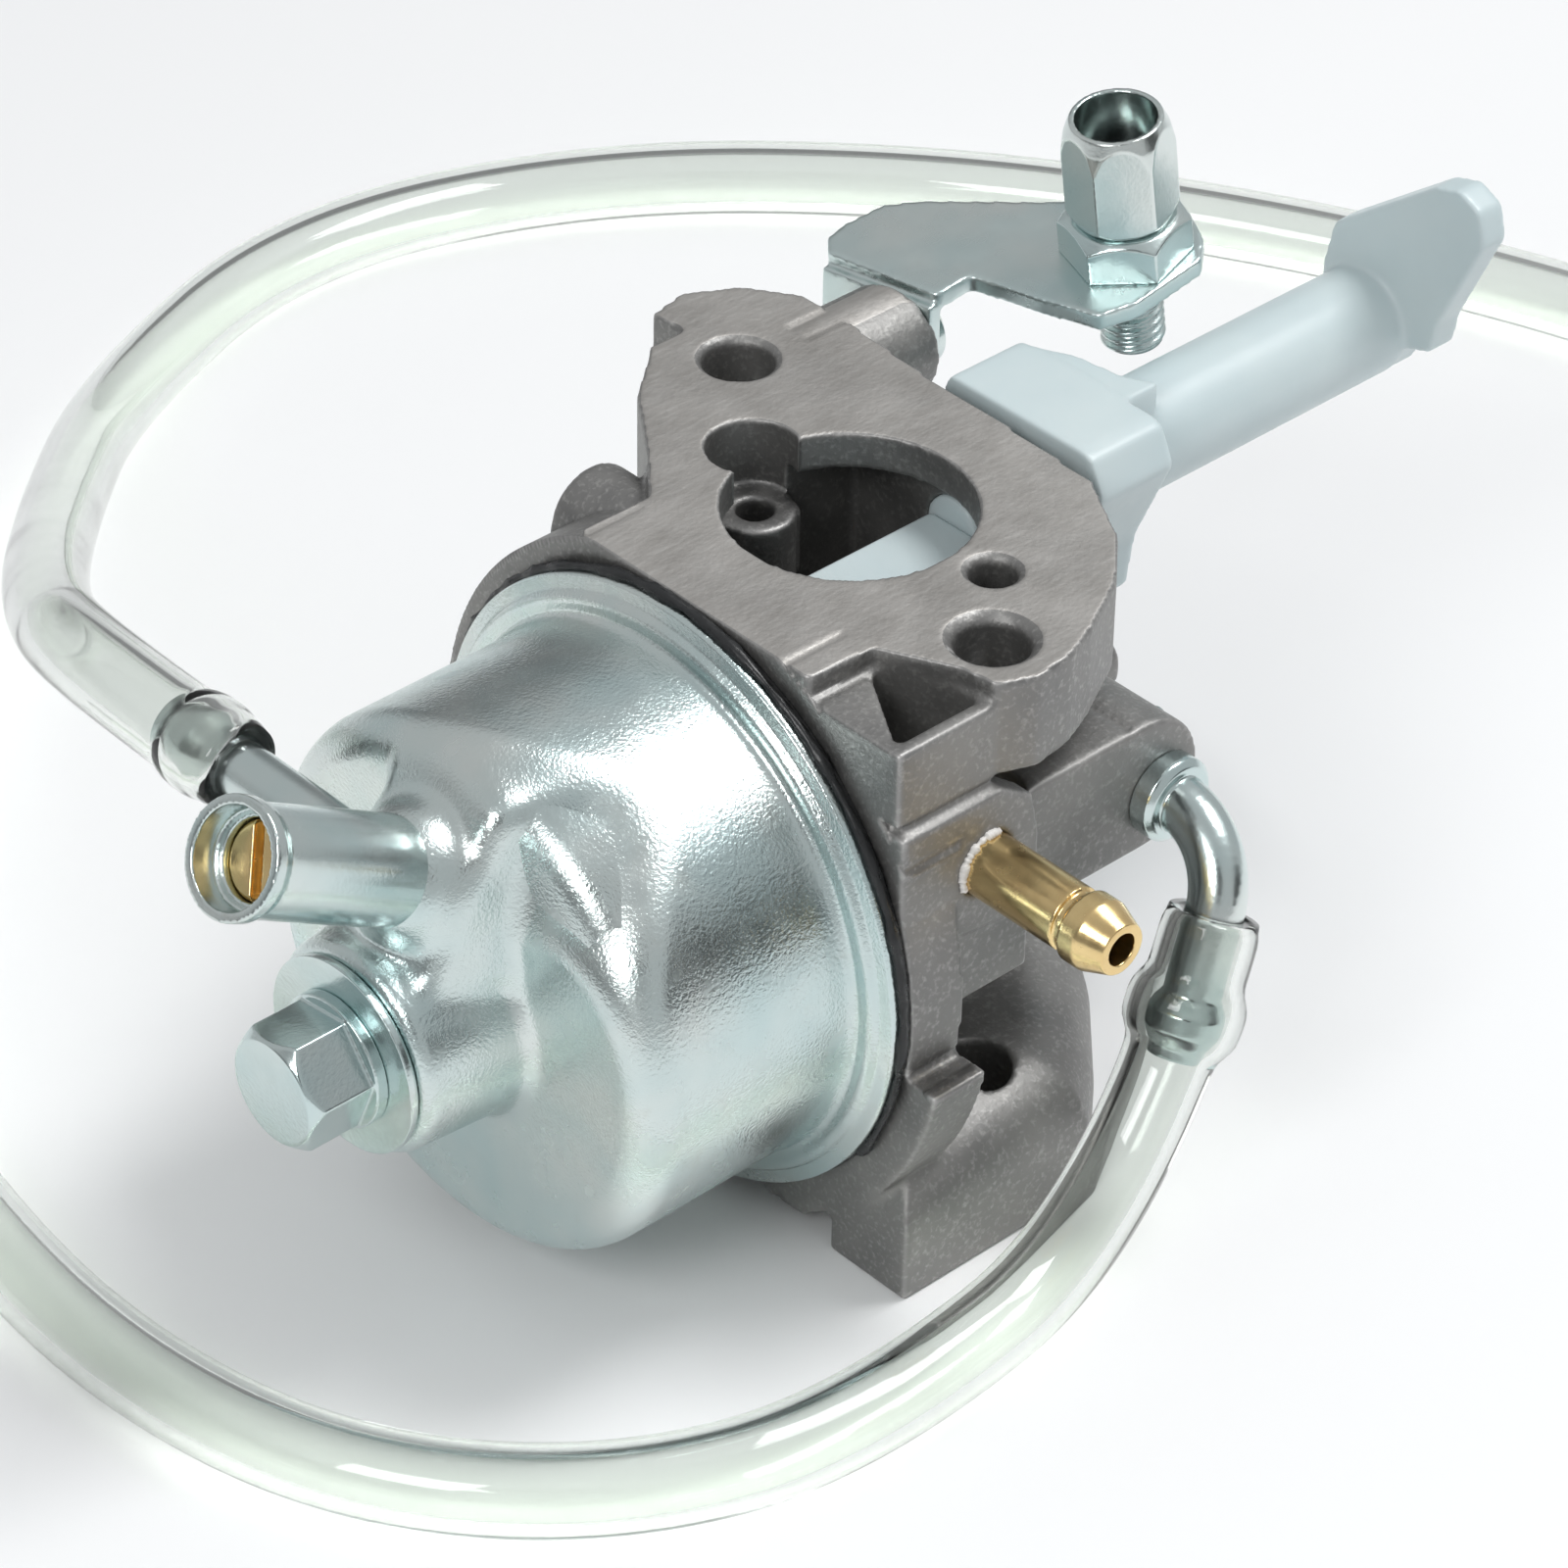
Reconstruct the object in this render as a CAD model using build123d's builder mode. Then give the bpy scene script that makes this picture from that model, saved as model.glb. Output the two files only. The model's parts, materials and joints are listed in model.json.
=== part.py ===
from build123d import *
from math import acos, cos, radians, sin, tan
import os

os.makedirs("parts", exist_ok=True)

# Frame: the origin is the throat centre on the top flange face, +Z runs out of the throat,
# and -X points at the bowl.
# ---- driving dimensions, mm ----
body_height = 58.5
flange_thick = 9.3
throat_r = 11.1
stud_far = (8.58, 23.44)
stud_near = (-4.58, -22.07)
stud_r = 3.25
seat_x = -20.0
bowl_y = -0.85
bowl_z = -28.57
bowl_r = 24.8
rim_r = 28.5
sheet = 1.2
gasket_thick = 1.0
bowl_depth = 24.5
boss_r = 10.0
pillar_r = 5.8
drain_tilt = 30.3
drain_mouth = (-67.9, -0.9, -2.9)
drain_length = 20.8
choke_z = -8.1
throttle_z = -46.0
throttle_bore_r = 9.5
port_r = 9.8
shaft_r = 3.0
hose_r = 4.0
hose_bore_r = 2.6
floor_z = -body_height
hose_z = floor_z + hose_r
bracket_rise = 9.0
run_gap = 0.05

toward_bowl = Vector(cos(radians(drain_tilt)), 0, -sin(radians(drain_tilt)))
bowl_axis = Vector(-1, 0, 0)
bracket_up = Vector(-sin(radians(bracket_rise)), 0, cos(radians(bracket_rise)))
adjuster_foot = Vector(44.1, 10.8, 2.6)


def box(x0, x1, y0, y1, z0, z1, mode=Mode.ADD):
    with Locations(((x0 + x1) / 2, (y0 + y1) / 2, (z0 + z1) / 2)):
        Box(x1 - x0, y1 - y0, z1 - z0, mode=mode)


def rod(start, along, radius, length, mode=Mode.ADD):
    with BuildSketch(Plane(origin=start, z_dir=along)) as disc:
        Circle(radius)
    extrude(disc.sketch, amount=length, mode=mode)


def prism(plane, outline, amount, mode=Mode.ADD, rounding=0.0):
    with BuildSketch(plane) as profile:
        with BuildLine():
            Polyline(*outline, close=True)
        make_face()
        if rounding:
            offset(amount=-rounding, kind=Kind.INTERSECTION)
            offset(amount=rounding, kind=Kind.ARC)
    extrude(profile.sketch, amount=amount, mode=mode)


def turned(origin, along, outline, mode=Mode.ADD):
    heading = Vector(*along)
    side = heading.cross(Vector(0, 0, 1) if abs(heading.Z) < 0.9 else Vector(0, 1, 0)).normalized()
    with BuildSketch(Plane(origin=origin, x_dir=along, z_dir=side)) as profile:
        with BuildLine():
            Polyline(*outline, close=True)
        make_face()
    revolve(profile.sketch, axis=Axis(origin, along), mode=mode)


def save(part, name):
    part.label = name
    export_step(part, "parts/" + name + ".step")


def yz_plane(x):
    return Plane(origin=(x, 0, 0), x_dir=(0, 1, 0), z_dir=(1, 0, 0))


def xz_plane(y):
    return Plane(origin=(0, y, 0), x_dir=(1, 0, 0), z_dir=(0, -1, 0))


# ---- cast body ----
top_outline = [
    (-20, 12.5), (-11.9, 12.4), (-7.4, 17.6), (-1.9, 25.1), (3.2, 29.2), (7.6, 33.9),
    (12.1, 34.8), (16.9, 32.0), (20.0, 27.3), (19.9, 20.8), (19.0, 10.0), (18.7, -1.4),
    (18.1, -11.0), (13.9, -18.3), (9.1, -22.9), (2.5, -26.5), (-1.2, -28.0), (-5.4, -28.6),
    (-9.0, -27.2), (-9.6, -23.3), (-13.0, -16.6), (-20, -16.4),
]
low_outline = [
    (-20, -29.8), (-20, -20.5), (-14.5, -18), (-13.5, 10), (-7.4, 17.6), (0, 27), (4.5, 30.5),
    (12.5, 31), (17.5, 25), (18.5, 12), (18.5, -8), (14.5, -17.5), (7, -25.5), (2, -29.8),
]
corner_outline = [(-20, -10.3), (-8.6, -10.3), (-5, -12.6), (-4, -17), (-4, -31.4), (-13.8, -31.4),
                  (-13.8, -36), (-20, -36)]
seat_window = [(-60, -12), (0, -12), (5, -27), (60, -27), (60, 60), (-60, 60)]
flange_bottom = -flange_thick
low_flange_top = -45.0
with BuildPart() as body:
    prism(Plane.XY.offset(floor_z), low_outline, low_flange_top - floor_z)
    top_edges = [edge for edge in body.edges() if abs(edge.center().Z - low_flange_top) < 0.01]
    upper_edges = [edge for edge in top_edges if edge.center().Y < -21]
    fillet(upper_edges, 7.0)
    prism(Plane.XY.offset(flange_bottom), top_outline, flange_thick, rounding=1.0)
    rod((0, 0, floor_z), (0, 0, 1), 14.6, body_height)
    box(-20, -9, -27.2, -12, -9.4, -2)
    prism(xz_plane(-14), corner_outline, 14.0)
    box(-19, -9, -27.0, -12, -12, -9)
    box(-20, 0, -14.2, 12.6, -56, -1)
    with BuildSketch(yz_plane(seat_x)) as seat:
        with Locations((bowl_y, bowl_z)):
            Circle(31.0)
        with BuildLine():
            Polyline(*seat_window, close=True)
        make_face(mode=Mode.INTERSECT)
    extrude(seat.sketch, amount=6.5)
    with BuildSketch(yz_plane(seat_x)) as seat_low:
        with Locations((bowl_y, bowl_z)):
            Circle(28.8)
    extrude(seat_low.sketch, amount=6.0)
    with BuildSketch(yz_plane(seat_x)) as lug:
        with Locations((bowl_y, bowl_z)):
            Circle(32.4)
        with Locations((-40, -57.2)):
            Rectangle(27, 22.7, align=(Align.MIN, Align.MIN), mode=Mode.INTERSECT)
    extrude(lug.sketch, amount=6.0)
    box(-30, 10, -50, 50, 0, 10, mode=Mode.SUBTRACT)
    box(-30, 10, -50, 50, floor_z - 10, floor_z, mode=Mode.SUBTRACT)
    # fuel arm that carries the vent elbow
    box(-6, 11.6, -25, -8, -28.4, -15.2)
    rod((11.6, -25, -21.8), (0, 1, 0), 6.6, 17)
    # boss behind the flange, bracket boss, shaft bosses
    rod((6, 23, -5.5), (1, 0, 0), 5.4, 26)
    rod((10, 0, choke_z), (1, 0, 0), 6.2, 10.6)
    rod((10, 0, throttle_z), (1, 0, 0), 5.6, 14)
    box(10, 20.6, -5.6, 5.6, throttle_z, -6)
    box(-14.4, 14.4, -14.2, 14.2, -22, -6)
    rod((-10.6, 12, -6.5), (0, 1, 0), 4.6, 9.5)
    box(8, 20.6, -11.5, 12.5, -30, -6)
    rod((16, -8.3, -21.5), (1, 0, 0), 3.2, 6.5)
    # lug of the idle stop screw
    box(8, 27.8, 5.0, 13.0, -39, -34)
    # pillar inside the bowl
    rod((seat_x, bowl_y, bowl_z), (-1, 0, 0), pillar_r, 34.9)
    # hinge posts for the float
    for post_z in (-33.6, -18.4):
        box(-24.0, -19.5, -21.3, -18.4, post_z - 1.3, post_z + 1.3)
    # small foot below the bowl
    box(-20, -15, -17.2, -12.0, -57.0, -50)
    # end of the bracket boss is cut square to the bracket leg
    trim_direction = (cos(radians(8)), sin(radians(8)), 0)
    with BuildSketch(Plane(origin=(27.15, 23, -5.5), x_dir=(0, 0, 1), z_dir=trim_direction)) as trim:
        Rectangle(30, 30)
    extrude(trim.sketch, amount=12, mode=Mode.SUBTRACT)
    # step on the flange side and the notch on the far ear
    box(-21, -8.6, -28.5, -26.9, -10.3, -9.3, mode=Mode.SUBTRACT)
    prism(Plane.XY.offset(-3.7), [(2.6, 29.9), (8.0, 30.1), (7.7, 35), (2.6, 35)], 5, mode=Mode.SUBTRACT)
    # lower part of the inlet block stands back
    prism(xz_plane(-27.2), [(-13.8, -23.6), (-3, -24.7), (-3, -32), (-13.8, -32)], 3, mode=Mode.SUBTRACT)
    # open pocket in the near corner
    pocket = [(-18.9, -25.6), (-13.6, -17.0), (-12.6, -17.4), (-9.9, -22.9), (-9.6, -25.6)]
    prism(Plane.XY.offset(-9.8), pocket, 12, mode=Mode.SUBTRACT)
    # throat: mouth, choke chamber, venturi, throttle bore
    rod((0, 0, -6), (0, 0, 1), throat_r, 8, mode=Mode.SUBTRACT)
    rod((0, 12.2, -14), (0, 0, 1), 4.2, 16, mode=Mode.SUBTRACT)
    box(-12.4, 12.4, -12.0, 12.4, -20, -3.6, mode=Mode.SUBTRACT)
    air_way = [(19, 0), (19, 11.4), (20, 11.4), (27, 7.6), (30, 7.6), (36, throttle_bore_r),
               (50.5, throttle_bore_r), (50.5, port_r), (body_height + 1, port_r), (body_height + 1, 0)]
    turned((0, 0, 0), (0, 0, -1), air_way, mode=Mode.SUBTRACT)
    rod((0.3, 12.2, -14.5), (0, 0, 1), 3.7, 7.9)
    rod((0.3, 12.2, -24), (0, 0, 1), 1.7, 20, mode=Mode.SUBTRACT)
    # studs, with the countersinks of the top face
    for stud, mouth_r in ((stud_far, 3.8), (stud_near, 4.1)):
        rod((stud[0], stud[1], floor_z - 1), (0, 0, 1), stud_r, body_height + 2, mode=Mode.SUBTRACT)
        sink = [(0, 0), (0, mouth_r), (mouth_r - stud_r, stud_r), (mouth_r - stud_r, 0)]
        turned((stud[0], stud[1], 0), (0, 0, -1), sink, mode=Mode.SUBTRACT)
    bleed_hole = [(0, 0), (0, 2.65), (0.55, 2.1), (14, 2.1), (14, 0)]
    turned((2.35, -15.03, 0), (0, 0, -1), bleed_hole, mode=Mode.SUBTRACT)
    # shaft bores
    rod((-15.5, 0, choke_z), (1, 0, 0), 3.2 + run_gap, 45, mode=Mode.SUBTRACT)
    rod((-15.0, 0, throttle_z), (1, 0, 0), shaft_r + run_gap, 45, mode=Mode.SUBTRACT)
    # idle stop screw hole
    rod((24.6, 9, -40), (0, 0, 1), 2.0 + run_gap, 8, mode=Mode.SUBTRACT)
    # fuel inlet, needle seat, vent elbow
    rod((-10, -29, -17.3), (0, 1, 0), 2.95, 9, mode=Mode.SUBTRACT)
    rod((-10, -21, -17.3), (0, 1, 0), 1.5, 5.5, mode=Mode.SUBTRACT)
    rod((-20.5, -16.5, -17.3), (1, 0, 0), 3.0, 8.5, mode=Mode.SUBTRACT)
    rod((-12.5, -16.5, -17.3), (1, 0, 0), 1.2, 3.0, mode=Mode.SUBTRACT)
    rod((13.9, -26, -23.2), (0, 1, 0), 2.6, 8, mode=Mode.SUBTRACT)
    rod((13.9, -19, -23.2), (0, 1, 0), 1.7, 5, mode=Mode.SUBTRACT)
    # bracket screw hole
    leg_in = Vector(-cos(radians(8)), -sin(radians(8)), 0)
    rod(Vector(27.15, 23, -6.0) - leg_in, leg_in, 2.0, 13, mode=Mode.SUBTRACT)
    # float pin, main jet gallery, bowl bolt thread, pilot jet
    rod((-22.4, -19.85, -36), (0, 0, 1), 0.8, 21, mode=Mode.SUBTRACT)
    gallery = [(-0.1, 0), (-0.1, 3.0), (11.0, 3.0), (11.0, 2.5), (48.6, 2.5), (48.6, 0)]
    turned((-55.0, bowl_y, bowl_z), (1, 0, 0), gallery, mode=Mode.SUBTRACT)
    rod((-43.0, bowl_y - 8, bowl_z), (0, 1, 0), 1.2, 16, mode=Mode.SUBTRACT)
    rod((-20.5, 10, -40), (1, 0, 0), 1.8, 9, mode=Mode.SUBTRACT)
save(body.part, "carburetor_body")

# ---- bowl, gasket and bolt ----
with BuildPart() as gasket:
    ring = [(0, 23.8), (0, 28.6), (gasket_thick, 28.6), (gasket_thick, 23.8)]
    turned((seat_x, bowl_y, bowl_z), bowl_axis, ring)
save(gasket.part, "bowl_gasket")

rim_x = seat_x - gasket_thick
bowl_profile = [
    (0, 23.6), (0, rim_r), (1.1, rim_r), (1.1, 27.2), (2.0, 26.9), (2.0, 25.7), (2.9, bowl_r),
    (21.4, bowl_r), (23.6, 23.9), (24.5, 21.8), (24.5, 10.8), (25.4, boss_r), (34.8, boss_r),
    (35.5, 9.3), (35.5, 3.2), (34.3, 3.2), (34.3, 8.8), (24.9, 8.8), (23.3, 10.2), (23.3, 21.4),
    (22.7, 22.9), (21.2, 23.6),
]
drain_foot = Vector(*drain_mouth) + toward_bowl * drain_length


def ramp(z, inset):
    return (drain_foot.X + inset + (z - drain_foot.Z) * tan(radians(drain_tilt)), z)


ramp_outer = [(-44.9, -6.3), ramp(-6.9, 0), ramp(-18.57, 0), (-53.0, -20.5), (-44.9, -20.5)]
ramp_inner = [(-44.0, -8.9), ramp(-8.9, 1.39), ramp(-19.8, 1.39), (-51.87, -21.5), (-44.0, -21.5)]
with BuildPart() as bowl:
    turned((rim_x, bowl_y, bowl_z), bowl_axis, bowl_profile)
    prism(xz_plane(bowl_y + 9.5), ramp_outer, 19.0)
    prism(xz_plane(bowl_y + 8.3), ramp_inner, 16.6, mode=Mode.SUBTRACT)
    bolt_hole = [(22.0, 0), (22.0, 8.8), (34.3, 8.8), (34.3, 0)]
    turned((rim_x, bowl_y, bowl_z), bowl_axis, bolt_hole, mode=Mode.SUBTRACT)
    rod(drain_foot - toward_bowl * 3, toward_bowl, 3.0, 6, mode=Mode.SUBTRACT)
save(bowl.part, "float_bowl")

bolt_face_x = rim_x - 35.5
with BuildPart() as washer:
    washer_shape = [(0, 3.2), (0, 8.7), (0.3, 9.0), (1.0, 9.0), (1.0, 3.2)]
    turned((bolt_face_x, bowl_y, bowl_z), bowl_axis, washer_shape)
save(washer.part, "bowl_bolt_washer")

with BuildPart() as bolt:
    shank = [(-12.2, 0), (-12.2, 2.5), (-11.7, 3.0), (1.0, 3.0), (1.0, 6.1), (2.2, 6.1), (2.2, 0)]
    turned((bolt_face_x, bowl_y, bowl_z), bowl_axis, shank)
    head_plane = Plane(origin=(bolt_face_x - 2.2, bowl_y, bowl_z), x_dir=(0, 1, 0), z_dir=(-1, 0, 0))
    with BuildSketch(head_plane) as hexagon:
        RegularPolygon(5.0, 6, major_radius=False, rotation=8)
    extrude(hexagon.sketch, amount=6.2)
    crown = [(7.2, 8), (7.2, 5.9), (8.4, 4.8), (8.4, 8)]
    turned((bolt_face_x, bowl_y, bowl_z), bowl_axis, crown, mode=Mode.SUBTRACT)
save(bolt.part, "bowl_bolt")

# ---- drain tube, its screw and barb ----
drain_origin = Vector(*drain_mouth)
with BuildPart() as drain_tube:
    tube = [
        (0, 4.3), (0, 5.2), (1.2, 5.2), (2.0, 4.75), (18.8, 4.75), (19.6, 5.2), (20.8, 5.2),
        (20.8, 3.0), (22.8, 3.0), (22.8, 1.5), (18.9, 1.5), (18.9, 3.45), (2.6, 3.45), (2.6, 4.3),
    ]
    turned(drain_origin, toward_bowl, tube)
    rod((-52.4, 2.7, -12.0), (0, 1, 0), 2.6, 6, mode=Mode.SUBTRACT)
    rod((-52.4, 0.0, -12.0), (0, 1, 0), 1.3, 4, mode=Mode.SUBTRACT)
save(drain_tube.part, "drain_tube")

with BuildPart() as drain_screw:
    screw = [
        (3.0, 0), (3.0, 3.0), (3.4, 3.4), (9.2, 3.4), (9.2, 2.5), (10.8, 2.5), (10.8, 3.4),
        (14.0, 3.4), (14.0, 2.0), (18.0, 2.0), (19.3, 1.0), (19.3, 0),
    ]
    turned(drain_origin, toward_bowl, screw)
    slot_plane = Plane(origin=drain_origin + toward_bowl * 2.0, x_dir=(0, 1, 0), z_dir=toward_bowl)
    with BuildSketch(slot_plane) as slot:
        Rectangle(1.1, 9, rotation=-25)
    extrude(slot.sketch, amount=2.4, mode=Mode.SUBTRACT)
save(drain_screw.part, "drain_screw")

with BuildPart() as o_ring:
    turned(drain_origin, toward_bowl, [(9.25, 2.55), (9.25, 3.4), (10.75, 3.4), (10.75, 2.55)])
save(o_ring.part, "drain_o_ring")

with BuildPart() as drain_barb:
    barb = [(0, 1.3), (0, 2.6), (17.4, 2.6), (19.2, 3.1), (19.8, 3.1), (23.3, 2.3), (23.3, 1.3)]
    turned((-52.4, 2.7, -12.0), (0, 1, 0), barb)
save(drain_barb.part, "drain_barb")

# ---- barb and elbow on the body ----
with BuildPart() as fuel_barb:
    inlet = [
        (0, 1.5), (0, 2.95), (18.1, 2.95), (18.1, 2.65), (18.9, 2.65), (19.2, 3.3), (21.0, 3.3),
        (23.6, 2.35), (23.6, 1.5),
    ]
    turned((-10, -20.0, -17.3), (0, -1, 0), inlet)
save(fuel_barb.part, "fuel_inlet_barb")

elbow_start = Vector(13.9, -18.0, -23.2)
elbow_corner = Vector(13.9, -33.9, -23.2)
elbow_end = Vector(5.5, -36.2, -41.0)
elbow_dir = (elbow_end - elbow_corner).normalized()
with BuildPart() as elbow:
    with BuildLine() as elbow_path:
        FilletPolyline(elbow_start, elbow_corner, elbow_end, radius=8.0)
    with BuildSketch(Plane(origin=elbow_start, z_dir=(0, -1, 0))) as elbow_section:
        Circle(2.6)
        Circle(1.7, mode=Mode.SUBTRACT)
    sweep(elbow_section.sketch, path=elbow_path.line)
    turned((13.9, -25.0, -23.2), (0, -1, 0), [(0, 2.5), (0, 4.0), (1.8, 4.0), (2.4, 3.4), (2.4, 2.5)])
    bead = [(0, 2.5), (1.5, 3.5), (3.0, 3.5), (4.6, 2.5)]
    turned(elbow_end - elbow_dir * 5.6, elbow_dir, bead)
save(elbow.part, "vent_elbow")

# ---- float, hinge pin, needle and seat, jets ----
with BuildPart() as float_piece:
    annulus = [(5.4, 9.0), (5.4, 20.2), (6.4, 20.4), (17.0, 20.4), (18.0, 19.4), (18.0, 9.0)]
    turned((seat_x, bowl_y, bowl_z), bowl_axis, annulus)
    box(-26.5, -21.4, -20.9, -14.6, -32.0, -20.0)
    rod((-22.4, -19.85, -32.2), (0, 0, 1), 1.6, 12.4)
    rod((-22.4, -19.85, -36), (0, 0, 1), 0.8 + run_gap, 21, mode=Mode.SUBTRACT)
    box(-25.9, -22.6, -18.0, -15.0, -20.4, -15.9)
save(float_piece.part, "float")

with BuildPart() as hinge_pin:
    rod((-22.4, -19.85, -35.0), (0, 0, 1), 0.8, 18.0)
save(hinge_pin.part, "float_hinge_pin")

with BuildPart() as needle_seat:
    seat_profile = [(0, 1.55), (0, 3.0), (7.6, 3.0), (7.6, 0.9), (5.6, 0.9), (5.0, 1.55)]
    turned((-19.8, -16.5, -17.3), (1, 0, 0), seat_profile)
save(needle_seat.part, "needle_seat")

with BuildPart() as needle:
    turned((-22.55, -16.5, -17.3), (1, 0, 0), [(0, 0), (0, 1.5), (7.4, 1.5), (9.0, 0.2), (9.0, 0)])
save(needle.part, "needle_valve")

with BuildPart() as main_jet:
    jet = [(0, 0.45), (0, 2.5), (5.0, 2.5), (5.0, 0.45)]
    turned((-41.5, bowl_y, bowl_z), (1, 0, 0), jet)
    box(-42, -40.7, bowl_y - 3, bowl_y + 3, bowl_z - 0.4, bowl_z + 0.4, mode=Mode.SUBTRACT)
save(main_jet.part, "main_jet")

with BuildPart() as nozzle:
    tube_profile = [(0, 1.3), (0, 2.5), (28.5, 2.5), (28.5, 2.0), (30.5, 2.0), (30.5, 1.3)]
    turned((-36.4, bowl_y, bowl_z), (1, 0, 0), tube_profile)
    for cross_x in (-31, -26, -21):
        rod((cross_x, bowl_y - 3, bowl_z), (0, 1, 0), 0.5, 6, mode=Mode.SUBTRACT)
save(nozzle.part, "main_nozzle")

with BuildPart() as pilot_jet:
    pilot = [(0, 0.4), (0, 1.8), (7.5, 1.8), (7.5, 0.4)]
    turned((-19.9, 10, -40), (1, 0, 0), pilot)
    box(-20.5, -19.0, 7, 13, -40.3, -39.7, mode=Mode.SUBTRACT)
save(pilot_jet.part, "pilot_jet")

# ---- throttle ----
plate_half = 0.5
screw_xs = (-4.5, 4.5)
with BuildPart() as throttle_shaft:
    rod((-14.6, 0, throttle_z), (1, 0, 0), shaft_r, 47.0)
    box(-9.6, 9.6, -4, 4, throttle_z - plate_half, throttle_z + plate_half, mode=Mode.SUBTRACT)
    for screw_x in screw_xs:
        rod((screw_x, 0, throttle_z - 4), (0, 0, 1), 1.25, 8, mode=Mode.SUBTRACT)
        rod((screw_x, 0, throttle_z + 2.2), (0, 0, 1), 2.05, 2, mode=Mode.SUBTRACT)
    box(30.2, 33, -4, 4, throttle_z + 2.0, throttle_z + 4, mode=Mode.SUBTRACT)
save(throttle_shaft.part, "throttle_shaft")

with BuildPart() as throttle_plate:
    rod((0, 0, throttle_z - plate_half), (0, 0, 1), throttle_bore_r - 0.06, 2 * plate_half)
    for screw_x in screw_xs:
        rod((screw_x, 0, throttle_z - 2), (0, 0, 1), 1.25, 4, mode=Mode.SUBTRACT)
save(throttle_plate.part, "throttle_plate")

with BuildPart() as plate_screw:
    for screw_x in screw_xs:
        head = [(-3.0, 0), (-3.0, 1.25), (2.2, 1.25), (2.2, 2.0), (3.2, 2.0), (3.6, 1.4), (3.6, 0)]
        turned((screw_x, 0, throttle_z), (0, 0, 1), head)
save(plate_screw.part, "throttle_plate_screw")

lever_outline = [(-3.0, -42.6), (-6.0, -31.5), (-9.6, -30.2), (-12.4, -32.2), (-11.6, -35.6), (-6.5, -44.5),
                 (-5.0, -49.5), (0, -51.6), (4.6, -49.6), (11.0, -45.6), (11.0, -42.2), (4.4, -41.0)]
with BuildPart() as throttle_lever:
    prism(yz_plane(28.2), lever_outline, 2.0, rounding=0.8)
    box(22.6, 28.4, 6.9, 11.0, -45.6, -43.6)
    rod((28.0, 0, throttle_z), (1, 0, 0), shaft_r, 3, mode=Mode.SUBTRACT)
    rod((28.0, -9.0, -33.4), (1, 0, 0), 1.25, 3, mode=Mode.SUBTRACT)
save(throttle_lever.part, "throttle_lever")

with BuildPart() as lever_nut:
    with BuildSketch(yz_plane(30.2)) as nut_section:
        with Locations((0, throttle_z)):
            RegularPolygon(4.0, 6, major_radius=False)
            Circle(shaft_r, mode=Mode.SUBTRACT)
    extrude(nut_section.sketch, amount=2.2)
save(lever_nut.part, "throttle_lever_nut")

with BuildPart() as return_spring:
    with BuildLine() as coil:
        Helix(pitch=1.15, height=2.7, radius=4.7, center=(24.75, 0, throttle_z), direction=(1, 0, 0))
    with BuildSketch(Plane(origin=coil.line @ 0, z_dir=coil.line % 0)) as wire:
        Circle(0.4)
    sweep(wire.sketch, path=coil.line, is_frenet=True)
save(return_spring.part, "throttle_return_spring")

# ---- idle stop screw ----
with BuildPart() as stop_screw:
    stop_shape = [(0, 0), (0.3, 1.6), (0.8, 2.0), (16.2, 2.0), (16.2, 3.4), (19.2, 3.4), (19.2, 0)]
    turned((24.6, 9, -43.55), (0, 0, 1), stop_shape)
    box(20, 29, 8.5, 9.5, -25.6, -24, mode=Mode.SUBTRACT)
save(stop_screw.part, "idle_stop_screw")

with BuildPart() as stop_washer:
    turned((24.6, 9, -28.0), (0, 0, 1), [(0, 2.0 + run_gap), (0, 3.4), (0.6, 3.4), (0.6, 2.0 + run_gap)])
save(stop_washer.part, "idle_stop_washer")

with BuildPart() as stop_spring:
    with BuildLine() as stop_coil:
        Helix(pitch=1.2, height=5.0, radius=2.75, center=(24.6, 9, -33.5))
    with BuildSketch(Plane(origin=stop_coil.line @ 0, z_dir=stop_coil.line % 0)) as stop_wire:
        Circle(0.35)
    sweep(stop_wire.sketch, path=stop_coil.line, is_frenet=True)
save(stop_spring.part, "idle_stop_spring")

# ---- choke ----
hub_outline = [(-9.6, -4.2), (-8.0, -0.8), (-6.5, -0.4), (9.6, -0.4), (10.3, -2.0), (9.6, -5.6), (6.2, -12),
               (3.2, -20.2), (-2.2, -21.2), (-4.8, -19.2), (-5.6, -13.5)]
tab_outline = [(-5.3, -8.9), (-8.4, -8.0), (-9.0, -4.6), (-13.4, 5.4), (-12.6, 8.6), (-10.0, 9.8),
               (-7.2, 9.0),
               (4.3, 0.2), (5.25, -4.2), (5.25, -8.1), (3.7, -11.8), (0, -13.35), (-3.7, -11.8)]
with BuildPart() as choke_lever:
    rod((-15.3, 0, choke_z), (1, 0, 0), 3.2, 39.4)
    box(-12.25, 12.25, -4, 4, choke_z - 0.8, choke_z + 4, mode=Mode.SUBTRACT)
    prism(yz_plane(21.0), hub_outline, 9.0, rounding=1.0)
    prism(Plane.XY.offset(choke_z), [(29.5, 9.6), (31.9, 5), (32.6, 0), (34.2, -3.4), (29.5, -3.4)], 7.5)
    rod((30.0, 0, choke_z), (1, 0, 0), 5.25, 34.5)
    prism(yz_plane(64.5), tab_outline, 3.3, rounding=1.2)
save(choke_lever.part, "choke_lever")

with BuildPart() as choke_plate:
    flap = [(-12.1, -8.5), (-9.6, -11.5), (9.6, -11.5), (12.1, -8.5), (12.1, 2.3), (-12.1, 2.3)]
    prism(Plane.XY.offset(choke_z - 0.8), flap, 1.7, rounding=0.5)
save(choke_plate.part, "choke_plate")

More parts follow.
